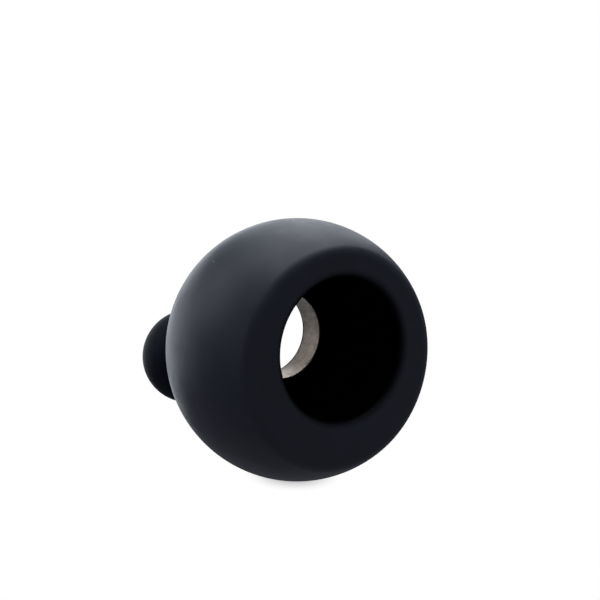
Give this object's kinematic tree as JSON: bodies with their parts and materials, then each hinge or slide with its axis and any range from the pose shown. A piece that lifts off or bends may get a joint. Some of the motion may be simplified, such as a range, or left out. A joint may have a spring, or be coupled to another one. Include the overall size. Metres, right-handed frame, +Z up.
{
  "type": "case opening friction ball",
  "caption": "Truncated rubber ball with a deep recess, a friction face, a metal-lined sight hole and a turning knob, for unscrewing watch case backs.",
  "frame": {"origin": "centre of the rubber ball, which is where the hand holds it", "axes": "-Y out of the front recess along the bore axis, +Z up with the tool lying on its side"},
  "size_m": [0.06, 0.0597, 0.06],
  "materials": {
    "black_rubber": "satin moulded rubber",
    "plate_steel": "blanked steel, moulded in",
    "turned_steel": "turned, dull warm grey",
    "brass": "turned",
    "screw_steel": "ground shoulder, turned head",
    "white_nylon": "natural nylon",
    "black_knob": "satin moulded plastic",
    "sleeve_bronze": "sintered bronze"
  },
  "bodies": {
    "ball": {"friction_ball": "black_rubber", "core_plate": "plate_steel", "sight_bush": "turned_steel", "spindle_insert": "brass", "shoulder_screw": "screw_steel", "base_washer": "white_nylon", "end_washer": "screw_steel"},
    "knob": {"knob_body": "black_knob", "knob_sleeve": "sleeve_bronze", "knob_cap": "black_knob"}
  },
  "joints": [
    {"name": "knob_spin", "type": "hinge", "parent": "ball", "child": "knob", "pos_m": [-0.01475, 0.0284, -0.00529], "axis": [0, 1, 0], "continuous": true}
  ]
}
